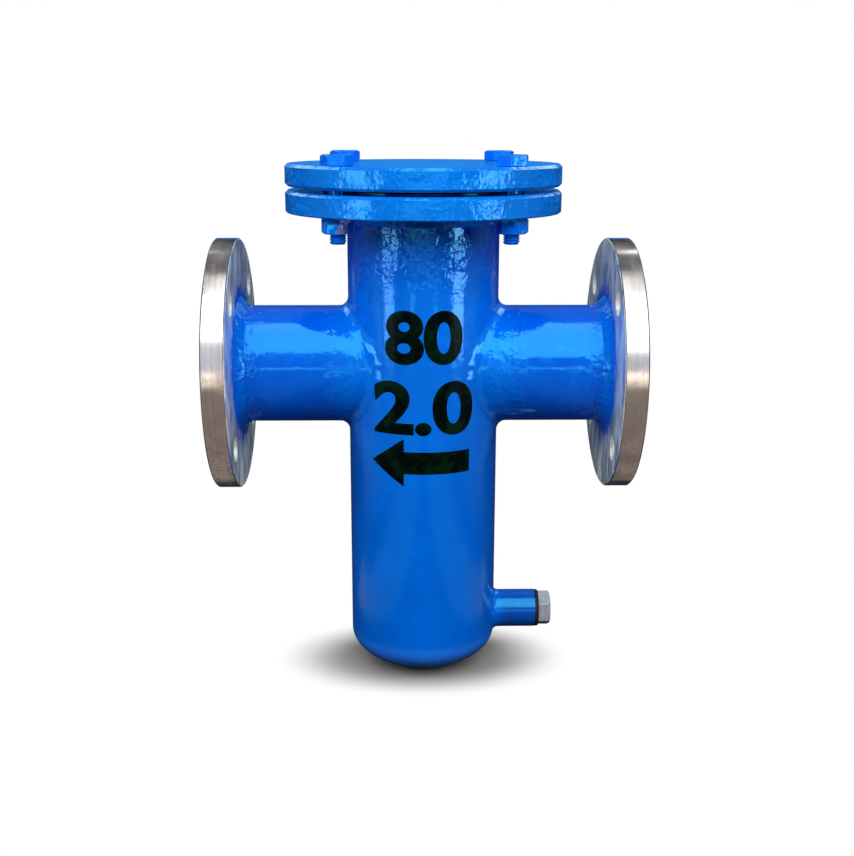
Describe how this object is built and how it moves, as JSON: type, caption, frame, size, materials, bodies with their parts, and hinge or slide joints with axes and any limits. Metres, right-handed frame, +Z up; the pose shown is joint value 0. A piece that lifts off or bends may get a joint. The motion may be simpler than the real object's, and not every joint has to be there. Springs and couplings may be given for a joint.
{
  "type": "basket strainer",
  "caption": "Welded pipe strainer with two flanged nozzles, a bolted round cover, a slanted perforated basket inside and a plugged drain stub.",
  "frame": {"origin": "the point where the barrel's upright axis crosses the axis of the two nozzles", "axes": "+Z up along the barrel to the cover, +X along the nozzles to the inlet flange, -Y towards the viewer of the picture"},
  "size_m": [0.316, 0.205, 0.4035],
  "materials": {
    "blue_paint": "glossy blue enamel with slight orange peel over welded steel",
    "fastener_paint": "thin blue overspray on zinc-plated steel, bare on some flats",
    "flange_steel": "turned, bare, lightly handled",
    "zinc_plate": "bright zinc plate",
    "stainless_sheet": "mill-finish stainless sheet and rod",
    "gasket_fibre": "matt dark sheet gasket",
    "seal_rubber": "matt black rubber"
  },
  "bodies": {
    "body": {"barrel": "blue_paint", "bottom_cap": "blue_paint", "body_flange": "blue_paint", "body_flange_weld": "blue_paint", "inlet_nozzle": "blue_paint", "inlet_flange": "flange_steel", "inlet_flange_weld": "blue_paint", "outlet_nozzle": "blue_paint", "outlet_flange": "flange_steel", "outlet_flange_weld": "blue_paint", "cover_gasket": "gasket_fibre", "drain_boss": "blue_paint", "basket_seat": "stainless_sheet"},
    "cover": {"cover": "blue_paint"},
    "basket": {"basket_rim": "stainless_sheet", "basket_screen": "stainless_sheet", "basket_bottom": "stainless_sheet", "basket_handle": "stainless_sheet"},
    "bolt_front_left": {"cover_bolt_front_left": "fastener_paint"},
    "bolt_front_right": {"cover_bolt_front_right": "fastener_paint"},
    "bolt_rear_right": {"cover_bolt_rear_right": "fastener_paint"},
    "bolt_rear_left": {"cover_bolt_rear_left": "fastener_paint"},
    "nut_front_left": {"cover_nut_front_left": "fastener_paint"},
    "nut_front_right": {"cover_nut_front_right": "fastener_paint"},
    "nut_rear_right": {"cover_nut_rear_right": "fastener_paint"},
    "nut_rear_left": {"cover_nut_rear_left": "fastener_paint"},
    "drain_seal": {"drain_seal": "seal_rubber"},
    "drain_plug": {"drain_plug": "zinc_plate"}
  },
  "joints": [
    {"name": "cover_lift", "type": "slide", "parent": "body", "child": "cover", "axis": [0, 0, 1], "range_m": [0, 0.42]},
    {"name": "basket_lift", "type": "slide", "parent": "body", "child": "basket", "axis": [0, 0, 1], "range_m": [0, 0.336]},
    {"name": "bolt_front_left_turn", "type": "hinge", "parent": "cover", "child": "bolt_front_left", "pos_m": [-0.06081, -0.06081, 0.1509], "axis": [0, 0, 1], "range_deg": [0, 4110]},
    {"name": "bolt_front_right_turn", "type": "hinge", "parent": "cover", "child": "bolt_front_right", "pos_m": [0.06081, -0.06081, 0.1509], "axis": [0, 0, 1], "range_deg": [0, 4110]},
    {"name": "bolt_rear_right_turn", "type": "hinge", "parent": "cover", "child": "bolt_rear_right", "pos_m": [0.06081, 0.06081, 0.1509], "axis": [0, 0, 1], "range_deg": [0, 4110]},
    {"name": "bolt_rear_left_turn", "type": "hinge", "parent": "cover", "child": "bolt_rear_left", "pos_m": [-0.06081, 0.06081, 0.1509], "axis": [0, 0, 1], "range_deg": [0, 4110]},
    {"name": "nut_front_left_travel", "type": "slide", "parent": "body", "child": "nut_front_left", "axis": [0, 0, -1], "range_m": [0, 0.02]},
    {"name": "nut_front_right_travel", "type": "slide", "parent": "body", "child": "nut_front_right", "axis": [0, 0, -1], "range_m": [0, 0.02]},
    {"name": "nut_rear_right_travel", "type": "slide", "parent": "body", "child": "nut_rear_right", "axis": [0, 0, -1], "range_m": [0, 0.02]},
    {"name": "nut_rear_left_travel", "type": "slide", "parent": "body", "child": "nut_rear_left", "axis": [0, 0, -1], "range_m": [0, 0.02]},
    {"name": "drain_plug_travel", "type": "slide", "parent": "body", "child": "drain_seal", "axis": [1, 0, 0], "range_m": [0, 0.0164]},
    {"name": "drain_plug_turn", "type": "hinge", "parent": "drain_seal", "child": "drain_plug", "pos_m": [0.09315, 0, -0.2033], "axis": [1, 0, 0], "range_deg": [0, 3240]}
  ],
  "couplings": [
    {"joint": "basket_lift", "follows": "cover_lift", "ratio": 0.8},
    {"joint": "nut_front_left_travel", "follows": "bolt_front_left_turn", "m_per_rad": 0.00027852},
    {"joint": "nut_front_right_travel", "follows": "bolt_front_right_turn", "m_per_rad": 0.00027852},
    {"joint": "nut_rear_right_travel", "follows": "bolt_rear_right_turn", "m_per_rad": 0.00027852},
    {"joint": "nut_rear_left_travel", "follows": "bolt_rear_left_turn", "m_per_rad": 0.00027852},
    {"joint": "drain_plug_travel", "follows": "drain_plug_turn", "m_per_rad": 0.00028871}
  ]
}
